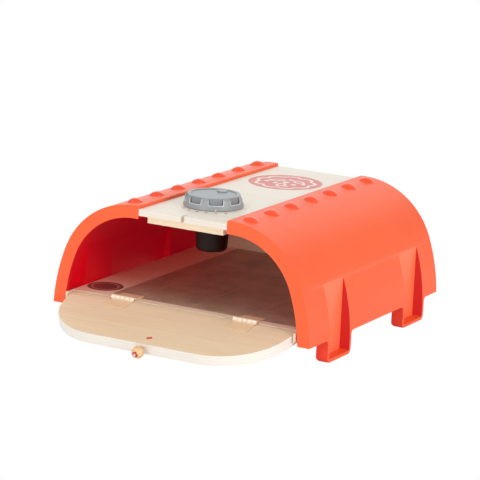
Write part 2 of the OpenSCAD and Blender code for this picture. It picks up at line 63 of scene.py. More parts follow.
camera = {
    "turn": 28.47, "rise": 12.78, "roll": 2.70,        # degrees
    "lens": 188.67,                                    # mm, on a 36 mm sensor
    "aim": (0, 120, 70), "offset": (-2.30, -19.86), "distance": 2631.8,   # mm, from the front rims
}


def makeCamera():
    # back = (sin turn cos rise, -cos turn cos rise, sin rise); the picture is turned by roll about it
    turn, rise, roll = (math.radians(camera[k]) for k in ("turn", "rise", "roll"))
    back = Vector((math.sin(turn) * math.cos(rise), -math.cos(turn) * math.cos(rise), math.sin(rise)))
    right = (-back).cross(Vector((0, 0, 1))).normalized()
    up = right.cross(-back)
    picRight = right * math.cos(roll) + up * math.sin(roll)
    picUp = up * math.cos(roll) - right * math.sin(roll)
    aim = Vector(camera["aim"]) * mm + Vector((0, frontY, 0))
    eye = aim - picRight * camera["offset"][0] * mm - picUp * camera["offset"][1] * mm
    eye += back * camera["distance"] * mm
    data = bpy.data.cameras.new("camera")
    data.sensor_width = 36
    data.lens = camera["lens"]
    data.clip_end = 20
    obj = bpy.data.objects.new("camera", data)
    bpy.context.scene.collection.objects.link(obj)
    obj.matrix_world = Matrix((
        (picRight.x, picUp.x, back.x, eye.x),
        (picRight.y, picUp.y, back.y, eye.y),
        (picRight.z, picUp.z, back.z, eye.z),
        (0, 0, 0, 1)))
    bpy.context.scene.camera = obj


makeCamera()
print("camera set")


class Wire:
    # one socket of a node tree; an expression on it adds Math nodes
    def __init__(self, paint, socket):
        self.paint = paint
        self.socket = socket

    def maths(self, operation, *others):
        return self.paint.node("ShaderNodeMath", {"operation": operation}, self, *others)

    def __add__(self, other): return self.maths("ADD", other)
    def __radd__(self, other): return self.maths("ADD", other)
    def __sub__(self, other): return self.maths("SUBTRACT", other)
    def __rsub__(self, other):
        return self.paint.node("ShaderNodeMath", {"operation": "SUBTRACT"}, other, self)

    def __mul__(self, other): return self.maths("MULTIPLY", other)
    def __rmul__(self, other): return self.maths("MULTIPLY", other)
    def __truediv__(self, other): return self.maths("DIVIDE", other)
    def __neg__(self): return self.maths("MULTIPLY", -1)
    def __abs__(self): return self.maths("ABSOLUTE")
    def __mod__(self, other): return self.maths("FLOORED_MODULO", other)
    def most(self, other): return self.maths("MAXIMUM", other)
    def sine(self): return self.maths("SINE")
    def root(self): return self.maths("SQRT")

    def ramp(self, low, high):
        # 0 at low, 1 at high, smooth between; low may be the larger one
        smooth = {"interpolation_type": "SMOOTHSTEP"}
        return self.paint.node("ShaderNodeMapRange", smooth, self, low, high, 0, 1)

    def inside(self, edge, soft=0.3):
        # 1 where the value is under edge, with a soft step
        return self.ramp(edge + soft, edge - soft)


class Paint:
    # a material under construction
    def __init__(self, name, **uniform):
        self.material = bpy.data.materials.new(name)
        self.material.use_nodes = True
        self.tree = self.material.node_tree
        self.shader = self.tree.nodes["Principled BSDF"]
        for socket, value in uniform.items():
            self.shader.inputs[socket.replace("_", " ")].default_value = value
        coords = self.tree.nodes.new("ShaderNodeTexCoord")
        self.place = Wire(self, coords.outputs["Object"])
        self.facing = Wire(self, coords.outputs["Normal"])
        self.uv = Wire(self, coords.outputs["UV"])

    def node(self, kind, settings, *values, **named):
        made = self.tree.nodes.new(kind)
        for key, value in settings.items():
            setattr(made, key, value)
        slots = [(made.inputs[i], v) for i, v in enumerate(values)]
        slots += [(made.inputs[k.replace("_", " ")], v) for k, v in named.items()]
        for slot, value in slots:
            if isinstance(value, Wire):
                self.tree.links.new(value.socket, slot)
            elif value is not None:
                slot.default_value = value
        return Wire(self, made.outputs[0])

    def vector(self, operation, *values):
        return self.node("ShaderNodeVectorMath", {"operation": operation}, *values)

    def axes(self, vector):
        made = self.tree.nodes.new("ShaderNodeSeparateXYZ")
        self.tree.links.new(vector.socket, made.inputs[0])
        return [Wire(self, made.outputs[i]) for i in range(3)]

    def stretched(self, vector, x, y, z):
        return self.vector("MULTIPLY", vector, (x, y, z))

    def noise(self, vector, scale, detail=3, rough=0.5):
        return self.node("ShaderNodeTexNoise", {}, Vector=vector, Scale=scale, Detail=detail, Roughness=rough)

    def mix(self, factor, a, b):
        made = self.tree.nodes.new("ShaderNodeMix")
        made.data_type = "RGBA"
        for slot, value in ((made.inputs[0], factor), (made.inputs[6], a), (made.inputs[7], b)):
            if isinstance(value, Wire):
                self.tree.links.new(value.socket, slot)
            else:
                slot.default_value = value if isinstance(value, float) else (*value, 1)
        return Wire(self, made.outputs[2])

    def colour(self, wire): self.tree.links.new(wire.socket, self.shader.inputs["Base Color"])
    def rough(self, wire): self.tree.links.new(wire.socket, self.shader.inputs["Roughness"])

    def glow(self, share, colour):
        self.tree.links.new(self.mix(share, (0, 0, 0), colour).socket, self.shader.inputs["Emission Color"])

    def bump(self, height, depth):
        made = self.tree.nodes.new("ShaderNodeBump")
        made.inputs["Distance"].default_value = depth
        self.tree.links.new(height.socket, made.inputs["Height"])
        self.tree.links.new(made.outputs[0], self.shader.inputs["Normal"])

    def millimetres(self, origin):
        # Object coordinates in mm from origin
        return self.vector("SCALE", self.vector("SUBTRACT", self.place, tuple(origin)), None, None, 1000.0)

    def level(self):
        # mm from the hinge line, and the normal, turned so that the open door lies level
        kind, about = "ShaderNodeVectorRotate", {"rotation_type": "X_AXIS"}
        p = self.node(kind, about, Vector=self.millimetres(hingePoint), Angle=-doorDrop)
        n = self.node(kind, about, Vector=self.facing, Angle=-doorDrop)
        return p, n


def srgb(r, g, b):
    # a screen colour from 0 to 255 as the linear colour that the shaders use
    c = np.array([r, g, b]) / 255
    return tuple(float(v) for v in np.where(c <= 0.04045, c / 12.92, ((c + 0.055) / 1.055) ** 2.4))


def darker(colour, share):
    return tuple(v * share for v in colour)


moulding = {"drift": 14, "cloud": 55, "fine": 1900, "roughSpread": 0.08}   # noise scales per metre


def unevenGloss(paint, rough):
    # roughness that drifts round its middle value
    cloud = paint.noise(paint.place, moulding["cloud"], 3)
    paint.rough(rough - moulding["roughSpread"] / 2 + cloud * moulding["roughSpread"])


# the shells: orange outside; inside, a painted deep red shade and a faint painted red glow stand in for light
# bounced round the oven and through the plastic
shellLook = {   # m
    # painted light: the flat's lighter orange on the pockets' flat backs
    "out": srgb(255, 100, 52), "in": srgb(226, 8, 24), "flat": srgb(255, 122, 80),
    # painted shade: the legs' side faces get a redder orange and the pocket walls a darker red
    "legs": srgb(255, 74, 48), "pocketShadeRed": srgb(208, 50, 44), "glow": (0.07, 0.0, 0.003),
    "drift": 0.05, "rough": 0.42, "gloss": 0.33,
    "wave": 0.00045, "waveScale": 26, "grain": 0.000012,
    "axisZ": 0.045,                                 # height of the line that the inner faces look at
    "edgeZ": 0.024, "midY": 0.1535,                 # lower edge; middle between the two legs
    "legY": 0.08675, "legReach": 0.04, "pocketReach": 0.024,   # a leg's middle, and reaches from there
    "flatX": 0.13875, "flatTop": 0.079,             # a pocket's flat back
    "soft": 0.0005,                                 # half width of the masks' edges
}


def shellPlastic():
    # inner faces look at the oven's long axis: their normal and the place from that axis point opposite ways;
    # a leg's side faces in the oven look away from the leg's middle, its pocket's walls look towards it
    look, soft = shellLook, shellLook["soft"]
    paint = Paint("shellPlastic", Specular_IOR_Level=look["gloss"], Emission_Strength=1.0)
    x, y, z = paint.axes(paint.place)
    nx, ny, nz = paint.axes(paint.facing)
    looksOut = x * nx + (z - look["axisZ"]) * nz
    inner = looksOut.ramp(0.001, -0.012) * (1 - abs(ny)).ramp(0.3, 0.7)
    inner = inner * z.ramp(panelTop + 0.0002, panelTop - 0.0002)
    along = y - (frontY + look["midY"])
    fromLeg = abs(along) - look["legY"]
    leg = abs(ny).ramp(0.5, 0.7) * fromLeg.ramp(look["legReach"] + 2 * soft, look["legReach"])
    looksAway = (fromLeg * along.maths("SIGN") * ny).ramp(0.004, 0.008)
    inner = inner.most(leg * looksAway) * z.ramp(look["edgeZ"] - soft, look["edgeZ"] + soft)
    # painted glow: a faint red emission on the inner faces and the legs' side faces
    paint.glow(inner.most(leg), look["glow"])
    drift = paint.noise(paint.place, moulding["drift"], 2).ramp(0.3, 0.7)
    outside = paint.mix(drift, look["out"], darker(look["out"], 1 - look["drift"]))
    # painted shade: a redder orange on the legs' side faces, darker red on the pocket walls near a leg's
    # middle
    beyondPocket = abs(fromLeg).ramp(look["pocketReach"] - soft, look["pocketReach"])
    outside = paint.mix(leg, outside, paint.mix(beyondPocket, look["pocketShadeRed"], look["legs"]))
    # painted light: the pocket's flat back gets a lighter orange, as if lit more from the side
    flat = abs(x).ramp(look["flatX"] + 0.0002, look["flatX"] + 0.0001) * abs(nx).ramp(0.97, 0.99)
    flat = flat * z.ramp(look["flatTop"] + 0.0004, look["flatTop"] - 0.0004)
    outside = paint.mix(flat, outside, look["flat"])
    # painted shade: the inner faces get the deep red
    paint.colour(paint.mix(inner, outside, look["in"]))
    unevenGloss(paint, look["rough"])
    sink = paint.noise(paint.place, look["waveScale"], 1)
    fine = paint.noise(paint.place, moulding["fine"], 2)
    paint.bump(sink + fine * (look["grain"] / look["wave"]), look["wave"])
    return paint.material


def plastic(name, colour, rough, grainDepth, spread=0.05, coat=0.0, gloss=0.5):
    # moulded plastic: one colour that drifts a little, a fine matt grain, slightly uneven gloss
    paint = Paint(name, Coat_Weight=coat, Coat_Roughness=0.1, Specular_IOR_Level=gloss)
    drift = paint.noise(paint.place, moulding["drift"], 2)
    paint.colour(paint.mix(drift.ramp(0.3, 0.7), colour, darker(colour, 1 - spread)))
    unevenGloss(paint, rough)
    paint.bump(paint.noise(paint.place, moulding["fine"], 2), grainDepth)
    return paint.material


def steel(name, colour, rough):
    # drawn or plated metal: faint streaks in colour and gloss
    paint = Paint(name, Metallic=1.0)
    streak = paint.noise(paint.stretched(paint.place, 1, 9, 9), 260, 3)
    paint.colour(paint.mix(streak.ramp(0.35, 0.7), colour, darker(colour, 0.86)))
    paint.rough(rough + streak * 0.12)
    paint.bump(streak, 0.00002)
    return paint.material


wood = {   # noise scales per mm; the grain runs along x, where fibres and pores are drawn out
    "drawn": 0.03, "poreDrawn": 0.11, "bands": 0.14, "fibres": 1.5, "pores": 2.3, "bandShare": 0.45,
    "rough": 0.5, "poreRough": 0.1, "depth": 0.00003,
    # pale and deep fibres, pores, and how much the pores show
    "panel": (srgb(241, 233, 221), srgb(231, 220, 201), srgb(216, 199, 172), 0.28),
    "door": (srgb(244, 222, 188), srgb(232, 205, 166), srgb(214, 180, 138), 0.3),
    "floor": (srgb(255, 240, 214), srgb(248, 224, 192), srgb(222, 192, 156), 0.25),
}

plies = {   # thickness in mm, layers, how much the glue shows, and the layers' and the glue's colour
    "panel": {"thick": (panelTop - panelBox[0].z) * 1000, "layers": 5, "share": 0.5,
              "pale": srgb(238, 228, 215), "glue": srgb(200, 176, 146)},
    "door": {"thick": 11.0, "layers": 7, "share": 0.5,
             "pale": srgb(246, 240, 230), "glue": srgb(220, 200, 174)},
    "floor": {"thick": 9.0, "layers": 5, "share": 0.4,
              "pale": srgb(240, 216, 186), "glue": srgb(214, 184, 150)},
}


def timber(paint, p, pale, deep, pore, porosity):
    # fibres are noise drawn out along the grain at two scales; short dark pores lie among them
    fibrePlace = paint.stretched(p, wood["drawn"], 1, 1)
    bands = paint.noise(fibrePlace, wood["bands"], 3, 0.5)
    fibres = paint.noise(fibrePlace, wood["fibres"], 3, 0.6)
    specks = paint.noise(paint.stretched(p, wood["poreDrawn"], 1, 1), wood["pores"], 1).ramp(0.58, 0.72)
    tone = bands.ramp(0.3, 0.75) * wood["bandShare"] + fibres.ramp(0.3, 0.72) * (1 - wood["bandShare"])
    face = paint.mix(tone, pale, deep)
    return paint.mix(specks * porosity, face, pore), fibres, specks


def plyEdge(paint, height, p, ply):
    # bands across the thickness, every second one end grain, with a thin glue line between them
    wobble = paint.noise(paint.stretched(p, 0.25, 0.25, 1), 0.9, 2)
    wave = ((height / ply["thick"] * ply["layers"] + wobble * 0.22) * math.pi).sine()
    glue = (1 - abs(wave)).ramp(0.72, 0.98)
    speck = paint.noise(paint.stretched(p, 2.2, 2.2, 0.7), 2.4, 2)
    endGrain = wave.ramp(-0.25, 0.25) * 0.7 + speck.ramp(0.4, 0.65) * 0.3
    body = paint.mix(endGrain, ply["pale"], darker(ply["pale"], 0.94))
    return paint.mix(glue * ply["share"], body, ply["glue"])


def lacquer(paint, fibres, specks):
    # pores stay duller and lower than the fibres
    paint.rough(wood["rough"] + specks * wood["poreRough"])
    paint.bump(fibres * 0.5 - specks * 0.6, wood["depth"])


topPrint = {   # mm from the front rims
    "centre": (-1.6, 222), "radius": 40, "ink": srgb(222, 120, 114),
    "lobes": 9, "loop": 30, "swell": 4.4, "line": 3.4,
    "leaves": [(-13, 6, 35), (12, 9, 150), (2, -14, 95)],   # place and turn in degrees
    "leafRound": 12.4, "leafApart": 7.2, "leafLine": 2.4,
    "dots": [(0, 1, 3.6), (-8, -8, 2.8), (13, -6, 3.2), (-1, 15, 2.8), (-20, -5, 2.8), (21, 2, 2.4),
             (10, -18, 2.4)],
    "markCentre": (-0.7, 65.7), "markRadius": 36.0, "firstMark": -31.7, "markPitch": 16.0, "marks": 6,
    "mark": 1.75, "markInk": srgb(214, 74, 62),
}


def leafShape(dx, dy, turn, size, apart):
    # where two discs of radius size, with centres apart to each side of the leaf's middle line, overlap
    c, s = math.cos(math.radians(turn)), math.sin(math.radians(turn))
    across = dy * c - dx * s
    along = dx * c + dy * s
    one, two = across - apart, across + apart
    far = (one * one + along * along).root().most((two * two + along * along).root())
    return far.inside(size)


def panelPly():
    # pale birch on top with the round print and the dial's marks, layers at the edges
    paint = Paint("birchPly", Coat_Weight=0.12, Coat_Roughness=0.3)
    p = paint.millimetres((0, frontY, 0))
    x, y, z = paint.axes(p)
    up = paint.axes(paint.facing)[2]
    face, fibres, specks = timber(paint, p, *wood["panel"])
    # print: a disc with a scalloped loop, leaves and dots left bare in it
    dx, dy = x - topPrint["centre"][0], y - topPrint["centre"][1]
    radius = (dx * dx + dy * dy).root()
    angle = paint.node("ShaderNodeMath", {"operation": "ARCTAN2"}, dy, dx)
    lobes = abs((angle * (topPrint["lobes"] / 2)).sine())
    loop = lobes * topPrint["swell"] + (topPrint["loop"] - topPrint["swell"] / 2)
    bare = abs(radius - loop).inside(topPrint["line"] / 2)
    for leafX, leafY, turn in topPrint["leaves"]:
        ex, ey = dx - leafX, dy - leafY
        leaf = leafShape(ex, ey, turn, topPrint["leafRound"], topPrint["leafApart"])
        rim = topPrint["leafRound"] - topPrint["leafLine"]
        bare = bare.most(leaf - leafShape(ex, ey, turn, rim, topPrint["leafApart"]))
    for dotX, dotY, size in topPrint["dots"]:
        ex, ey = dx - dotX, dy - dotY
        bare = bare.most((ex * ex + ey * ey).root().inside(size))
    ink = radius.inside(topPrint["radius"], 0.25) * (1 - bare)
    worn = paint.noise(paint.stretched(p, 0.3, 1, 1), 1.6, 3).ramp(0.25, 0.5) * 0.12 + 0.84
    flat = up.ramp(0.7, 0.9)
    face = paint.mix(ink * worn * flat, face, topPrint["ink"])
    marks = None
    for i in range(topPrint["marks"]):
        turn = math.radians(topPrint["firstMark"] + i * topPrint["markPitch"])
        ex = x - (topPrint["markCentre"][0] + topPrint["markRadius"] * math.sin(turn))
        ey = y - (topPrint["markCentre"][1] - topPrint["markRadius"] * math.cos(turn))
        dot = (ex * ex + ey * ey).root().inside(topPrint["mark"], 0.2)
        marks = dot if marks is None else marks.most(dot)
    face = paint.mix(marks * flat, face, topPrint["markInk"])
    edge = plyEdge(paint, panelTop * 1000 - z, p, plies["panel"])
    paint.colour(paint.mix(abs(up).ramp(0.5, 0.8), edge, face))
    lacquer(paint, fibres, specks)
    return paint.material


def doorPly():
    # warm fine-grained face, pale layered edge
    paint = Paint("doorPly", Coat_Weight=0.08, Coat_Roughness=0.35)
    p, n = paint.level()
    z = paint.axes(p)[2]
    up = paint.axes(n)[2]
    face, fibres, specks = timber(paint, p, *wood["door"])
    edge = plyEdge(paint, -z, p, plies["door"])
    paint.colour(paint.mix(abs(up).ramp(0.5, 0.8), edge, face))
    lacquer(paint, fibres, specks)
    return paint.material


def plainWood(name, pale, deep):
    # solid wood with no layers
    paint = Paint(name, Coat_Weight=0.1, Coat_Roughness=0.35)
    p = paint.millimetres((0, 0, 0))
    face, fibres, specks = timber(paint, p, pale, deep, darker(deep, 0.78), 0.3)
    paint.colour(face)
    lacquer(paint, fibres, specks)
    return paint.material


floorLook = {   # mm; the tiles start behind a bare border, right of a bare strip with one round print
    "border": 12.2, "tile": 64.0, "stripX": -92.0, "grout": 1.1,
    "stone": srgb(200, 180, 154), "shade": srgb(158, 140, 118), "line": srgb(214, 184, 150),
    "disc": (-114, 43.5), "discRadius": 19, "ringRadius": 14, "ring": 1.0,
    "discInk": srgb(118, 78, 74), "ringInk": srgb(206, 160, 132),
}


def floorBoard():
    # stone tiles printed behind a bare border, a round print beside them, layers at the front edge
    paint = Paint("tiledBoard", Coat_Weight=0.2, Coat_Roughness=0.2)
    p = paint.millimetres((0, frontY, 0))
    x, y, z = paint.axes(p)
    up = paint.axes(paint.facing)[2]
    bare = timber(paint, p, *wood["floor"])[0]
    tile, grout = floorLook["tile"], floorLook["grout"]
    depth = y - ((hingePoint.y - frontY) * 1000 + floorLook["border"])
    column = abs((x + tile / 2) % tile - tile / 2)
    row = abs((depth + tile / 2) % tile - tile / 2) + depth.inside(tile / 2) * tile
    joint = column.inside(grout / 2).most(row.inside(grout / 2))
    cloud = paint.noise(p, 0.035, 5, 0.6)
    fleck = paint.noise(p, 0.55, 3, 0.65)
    mottle = cloud.ramp(0.3, 0.7) * 0.7 + fleck.ramp(0.35, 0.7) * 0.3
    stone = paint.mix(mottle, floorLook["stone"], floorLook["shade"])
    stone = paint.mix(joint * 0.85, stone, floorLook["line"])
    tiled = depth.ramp(-0.4, 0.4) * (x - floorLook["stripX"]).ramp(-0.4, 0.4)
    dx, dy = x - floorLook["disc"][0], y - floorLook["disc"][1]
    radius = (dx * dx + dy * dy).root()
    face = paint.mix(tiled, bare, stone)
    face = paint.mix(radius.inside(floorLook["discRadius"]), face, floorLook["discInk"])
    ring = abs(radius - floorLook["ringRadius"]).inside(floorLook["ring"])
    face = paint.mix(ring, face, floorLook["ringInk"])
    edge = plyEdge(paint, floorBox[1].z * 1000 - z, p, plies["floor"])
    paint.colour(paint.mix(up.ramp(0.5, 0.8), edge, face))
    paint.rough(0.4 + fleck * 0.12)
    paint.bump(fleck * 0.4 - joint * 0.8 * tiled, 0.00005)
    return paint.material


def beadWood():
    # turned beech: soft rings across the bore, short flecks
    paint = Paint("turnedBeech", Coat_Weight=0.3, Coat_Roughness=0.25)
    p = paint.level()[0]
    rings = paint.noise(paint.stretched(p, 1, 0.25, 1.6), 0.4, 3)
    fleck = paint.noise(paint.stretched(p, 3, 0.6, 3), 1.6, 2)
    tone = rings.ramp(0.35, 0.65) * 0.5 + fleck.ramp(0.5, 0.7) * 0.3
    paint.colour(paint.mix(tone, srgb(240, 202, 150), srgb(216, 166, 110)))
    paint.rough(0.38 + fleck * 0.1)
    paint.bump(fleck, 0.00004)
    return paint.material


def braid(name, strand, fleckColour, share):
    # elastic cover: strands that cross, on the piece's own UV (round, along), a few of another colour
    paint = Paint(name, Roughness=0.8)
    u, v = paint.axes(paint.uv)[:2]
    over = ((u + v) * (2 * math.pi)).sine().most(((u - v) * (2 * math.pi)).sine())
    odd = (u + v * 0.5).maths("FRACT").ramp(1 - share, 1 - share + 0.05)
    paint.colour(paint.mix(odd, strand, fleckColour))
    paint.bump(over, 0.0001)
    return paint.material


hingeLook = {"plate": srgb(245, 215, 173), "barrel": srgb(253, 236, 212), "barrelRadius": 2.7}


def hingePaint():
    # cream paint, with the barrel's knuckles painted paler as a painted highlight where the round barrel
    # catches the light
    paint = Paint("creamHinge", Coat_Weight=0.2, Coat_Roughness=0.15)
    p = paint.millimetres(hingePoint)
    x, y, z = paint.axes(p)
    # painted highlight: the barrel gets the paler cream
    barrel = (y * y + z * z).root().inside(hingeLook["barrelRadius"], 0.25)
    drift = paint.noise(paint.place, 90, 2).ramp(0.35, 0.65) * 0.4
    plate = paint.mix(drift, hingeLook["plate"], darker(hingeLook["plate"], 0.92))
    paint.colour(paint.mix(barrel, plate, hingeLook["barrel"]))
    paint.rough(0.28 + paint.noise(paint.place, 140, 3) * 0.1)
    paint.bump(paint.noise(paint.place, 1500, 2), 0.00001)
    return paint.material


def cutEnd():
    # the elastic's pale core, frayed
    paint = Paint("elasticCore", Roughness=0.85)
    fray = paint.noise(paint.place, 2600, 3)
    paint.colour(paint.mix(fray.ramp(0.42, 0.6), srgb(250, 246, 248), srgb(226, 190, 190)))
    paint.bump(fray, 0.00015)
    return paint.material


dialLook = {   # mm and degrees from the foot's middle
    # painted light: the pale line colour is a painted highlight on the notches' edges, and the deep grey is
    # painted shade in the notches and round the dish
    "base": srgb(151, 157, 160), "line": srgb(222, 226, 228), "paintedShade": srgb(92, 96, 100),
    "mark": srgb(214, 218, 220), "markTurn": -56.1, "markHalf": 0.8, "markTop": 1.5,
    "foot": 31.0, "taper": 0.18, "notches": 8, "firstNotch": 34, "notchHalf": 7.5, "notchLow": 5.4,
    "dish": 22.9, "dishZ": 11.3,
}


def dialPlastic():
    # grey; painted highlights as light lines round the notches, painted shade on the notch walls and as a
    # line round the dish, a light mark
    paint = Paint("dialGrey", Specular_IOR_Level=0.55)
    look = dialLook
    x, y, z = paint.axes(paint.millimetres((dialAxis.x, dialAxis.y, dialBox[0].z)))
    radius = (x * x + y * y).root()
    pitch = 2 * math.pi / look["notches"]
    angle = paint.node("ShaderNodeMath", {"operation": "ARCTAN2"}, y, x)
    around = (angle - math.radians(look["firstNotch"]) + pitch / 2) % pitch - pitch / 2
    side = abs(around.sine() * radius)
    skin = radius - (look["foot"] - z * look["taper"])          # 0 on the cone, less than 0 in a notch
    # painted highlight: pale lines along the notches' edges
    high = z.ramp(look["notchLow"] - 0.3, look["notchLow"] + 0.1)
    upright = abs(side - look["notchHalf"]).inside(0.55, 0.25) * high
    sill = abs(z - look["notchLow"]).inside(0.55, 0.25) * side.inside(look["notchHalf"])
    line = upright.most(sill) * skin.ramp(-1.1, -0.5) * z.ramp(look["dishZ"], look["dishZ"] - 0.6)
    # painted shade: the notch walls, darker towards the notch sides, and a line round the dish get the deep
    # grey
    cheek = side.ramp(look["notchHalf"] - 1.6, look["notchHalf"] - 0.4) * 0.6 + 0.22
    notchShade = skin.ramp(-0.7, -1.4) * high * side.inside(look["notchHalf"] + 0.3)
    notchShade = notchShade * z.ramp(look["dishZ"] + 0.4, look["dishZ"])
    dishShade = abs(radius - look["dish"]).inside(0.7, 0.5) * z.ramp(look["dishZ"] - 0.4, look["dishZ"]) * 0.45
    drift = paint.noise(paint.place, 20, 2).ramp(0.3, 0.7)
    body = paint.mix(drift, look["base"], darker(look["base"], 0.95))
    body = paint.mix((notchShade * cheek).most(dishShade), body, look["paintedShade"])
    body = paint.mix(line * 0.75, body, look["line"])
    turn = math.radians(look["markTurn"])
    out = x * math.cos(turn) + y * math.sin(turn)
    across = abs(y * math.cos(turn) - x * math.sin(turn))
    mark = across.inside(look["markHalf"], 0.15) * z.inside(look["markTop"], 0.2) * out.ramp(29.5, 30)
    paint.colour(paint.mix(mark, body, look["mark"]))
    paint.rough(0.34 + paint.noise(paint.place, 60, 3) * 0.1)
    paint.bump(paint.noise(paint.place, 1700, 2), 0.000012)
    return paint.material


paints = {
    "shell": shellPlastic(),
    "rivet": plastic("rivetPlastic", srgb(255, 88, 50), 0.32, 0.000004, coat=0.25, gloss=0.35),
    "panel": panelPly(),
    "door": doorPly(),
    "rail": plainWood("creamWood", srgb(253, 234, 205), srgb(246, 221, 184)),
    "back": plainWood("backPly", srgb(242, 224, 194), srgb(228, 204, 168)),
    "floor": floorBoard(),
    "hinge": hingePaint(),
    "pin": steel("pinSteel", srgb(206, 203, 196), 0.28),
    "bead": beadWood(),
    "cord": braid("braidedElastic", srgb(232, 52, 38), srgb(246, 235, 228), 0.12),
    "core": cutEnd(),
    "dial": dialPlastic(),
    "housing": plastic("housingBrown", srgb(34, 18, 16), 0.5, 0.00002, gloss=0.2),
    "nylon": plastic("nylon", srgb(236, 232, 222), 0.45, 0.00001, 0.03),
    "spring": steel("springSteel", srgb(190, 190, 192), 0.3),
    "screw": steel("screwZinc", srgb(205, 205, 202), 0.32),
}
print("materials made:", len(paints))


def newPiece(name, mesh, paint, body, replaced=()):
    obj = bpy.data.objects.new(name, mesh)
    bpy.context.scene.collection.objects.link(obj)
    mesh.materials.clear()
    mesh.materials.append(paints[paint])
    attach(obj, body)
    if replaced:
        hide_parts(*replaced)
    return obj


def meshWork(mesh, dist=1e-7, flatten=False):
    # joins points closer than dist, makes normals point out, and may merge the triangles of flat faces
    work = bmesh.new()
    work.from_mesh(mesh)
    bmesh.ops.remove_doubles(work, verts=work.verts, dist=dist)
    if flatten:
        bmesh.ops.dissolve_limit(work, angle_limit=math.radians(0.3), verts=work.verts, edges=work.edges)
    else:
        bmesh.ops.recalc_face_normals(work, faces=work.faces)
    work.to_mesh(mesh)
    work.free()
    mesh.shade_smooth()


easing = {"steps": 3, "angle": 28, "merge": 0.00001}   # degrees; m


def eased(node, name, paint, body, width):
    # a copy of the CAD piece with its sharp edges rounded by width (mm)
    mesh = frame["nodes"][node].data.copy()
    mesh.name = name
    obj = newPiece(name, mesh, paint, body, (node,))
    meshWork(mesh, easing["merge"], True)
    bevel = obj.modifiers.new("round edges", "BEVEL")
    bevel.width = width * mm
    bevel.segments = easing["steps"]
    bevel.limit_method = "ANGLE"
    bevel.angle_limit = math.radians(easing["angle"])
    weighted = obj.modifiers.new("normals", "WEIGHTED_NORMAL")
    weighted.keep_sharp = False


def gridMesh(name, parts, uv=None):
    # each part is points (m, n, 3), closed in m, joined by quads; uv gives how often a pattern repeats
    points, quads, wraps = [], [], []
    for part in parts:
        m, n = part.shape[:2]
        i, j = np.meshgrid(np.arange(m), np.arange(n - 1), indexing="ij")
        first = sum(len(p) for p in points)
        points.append(part.reshape(-1, 3))
        i2 = (i + 1) % m
        corners = [i * n + j, i2 * n + j, i2 * n + j + 1, i * n + j + 1]
        quads.append(np.stack(corners, -1).reshape(-1, 4) + first)
        u = np.stack([i, i + 1, i + 1, i], -1).reshape(-1) / m
        v = np.stack([j, j, j + 1, j + 1], -1).reshape(-1) / n
        wraps.append(np.stack([u, v], -1))
    mesh = bpy.data.meshes.new(name)
    mesh.from_pydata(np.concatenate(points).tolist(), [], np.concatenate(quads).tolist())
    if uv:
        layer = mesh.uv_layers.new(name="uv")
        layer.data.foreach_set("uv", (np.concatenate(wraps) * np.array(uv)).astype(np.float32).ravel())
    mesh.validate()
    return mesh


def revolved(profile, steps):
    # profile (n, 2) of radius and height, turned about z: (r cos a, r sin a, h)
    a = np.linspace(0, 2 * np.pi, steps, endpoint=False)[:, None]
    r, h = np.asarray(profile, float).T
    return np.stack([r * np.cos(a), r * np.sin(a), h + 0 * a], -1)


def tube(path, radius, sides):
    # a ring of radius at each point of path, square to its direction, turned as little as possible
    path = np.asarray(path, float)
    radius = np.broadcast_to(radius, len(path))
    along = np.gradient(path, axis=0)
    along /= np.linalg.norm(along, axis=1, keepdims=True)
    side = np.cross(along[0], [0.3, 0.5, 0.8])
    rings = []
    for p, t, r in zip(path, along, radius):
        side = side - t * side.dot(t)
        side /= np.linalg.norm(side)
        other = np.cross(t, side)
        a = np.linspace(0, 2 * np.pi, sides, endpoint=False)[:, None]
        rings.append(p + r * (np.cos(a) * side + np.sin(a) * other))
    return np.stack(rings, 1)


def onDoor(points):
    # level coordinates in mm from the hinge line, free edge towards -y, to the open door's place in metres
    c, s = math.cos(doorDrop), math.sin(doorDrop)
    x, y, z = np.moveaxis(points, -1, 0)
    return np.stack([x, y * c - z * s, y * s + z * c], -1) * mm + np.array(hingePoint)


def alongCord(points, s, depth):
    # the piece's z axis goes out along the cord, s mm from the hinge line and depth mm below it
    x, y, z = np.moveaxis(points, -1, 0)
    return onDoor(np.stack([x, -z - s, y - depth], -1))


plain = {   # CAD pieces that are right as they are: material only
    "left_hinge_pin": "pin", "right_hinge_pin": "pin", "dial_shaft": "pin", "shaft_bush": "nylon",
    "click_wheel": "nylon", "click_spring": "spring", "housing_screws": "screw", "panel_screws": "screw",
    "rail_screws": "screw", "floor_screws": "screw", "back_screws": "screw",
}
for node, paint in plain.items():
    data = frame["nodes"][node].data
    data.materials.clear()
    data.materials.append(paints[paint])

easedPieces = [
    ("left_shell", "leftShell", "shell", "housing", "shell_plastic", 0.9),
    ("right_shell", "rightShell", "shell", "housing", "shell_plastic", 0.9),
    ("top_panel", "topPanel", "panel", "housing", "birch_ply", 0.35),
    ("front_rail", "frontRail", "rail", "housing", "pale_wood", 0.5),
    ("rear_rail", "rearRail", "rail", "housing", "pale_wood", 0.5),
    ("floor_panel", "floorBoard", "floor", "housing", "printed_board", 0.5),
    ("back_panel", "backBoard", "back", "housing", "back_board", 0.4),
    ("door", "doorBoard", "door", "door", "door_wood", 0.7),
    ("left_floor_leaf", "leftFloorLeaf", "hinge", "housing", "hinge_metal", 0.22),
    ("right_floor_leaf", "rightFloorLeaf", "hinge", "housing", "hinge_metal", 0.22),
    ("left_door_leaf", "leftDoorLeaf", "hinge", "door", "hinge_metal", 0.22),
    ("right_door_leaf", "rightDoorLeaf", "hinge", "door", "hinge_metal", 0.22),
    ("dial", "dialCap", "dial", "dial", "dial_grey", 0.5),
    ("clicker_housing", "clickerHousing", "housing", "housing", "clicker_dark", 0.5),
]
for node, name, paint, body, slot, width in easedPieces:
    eased(node, name, paint, body, width)
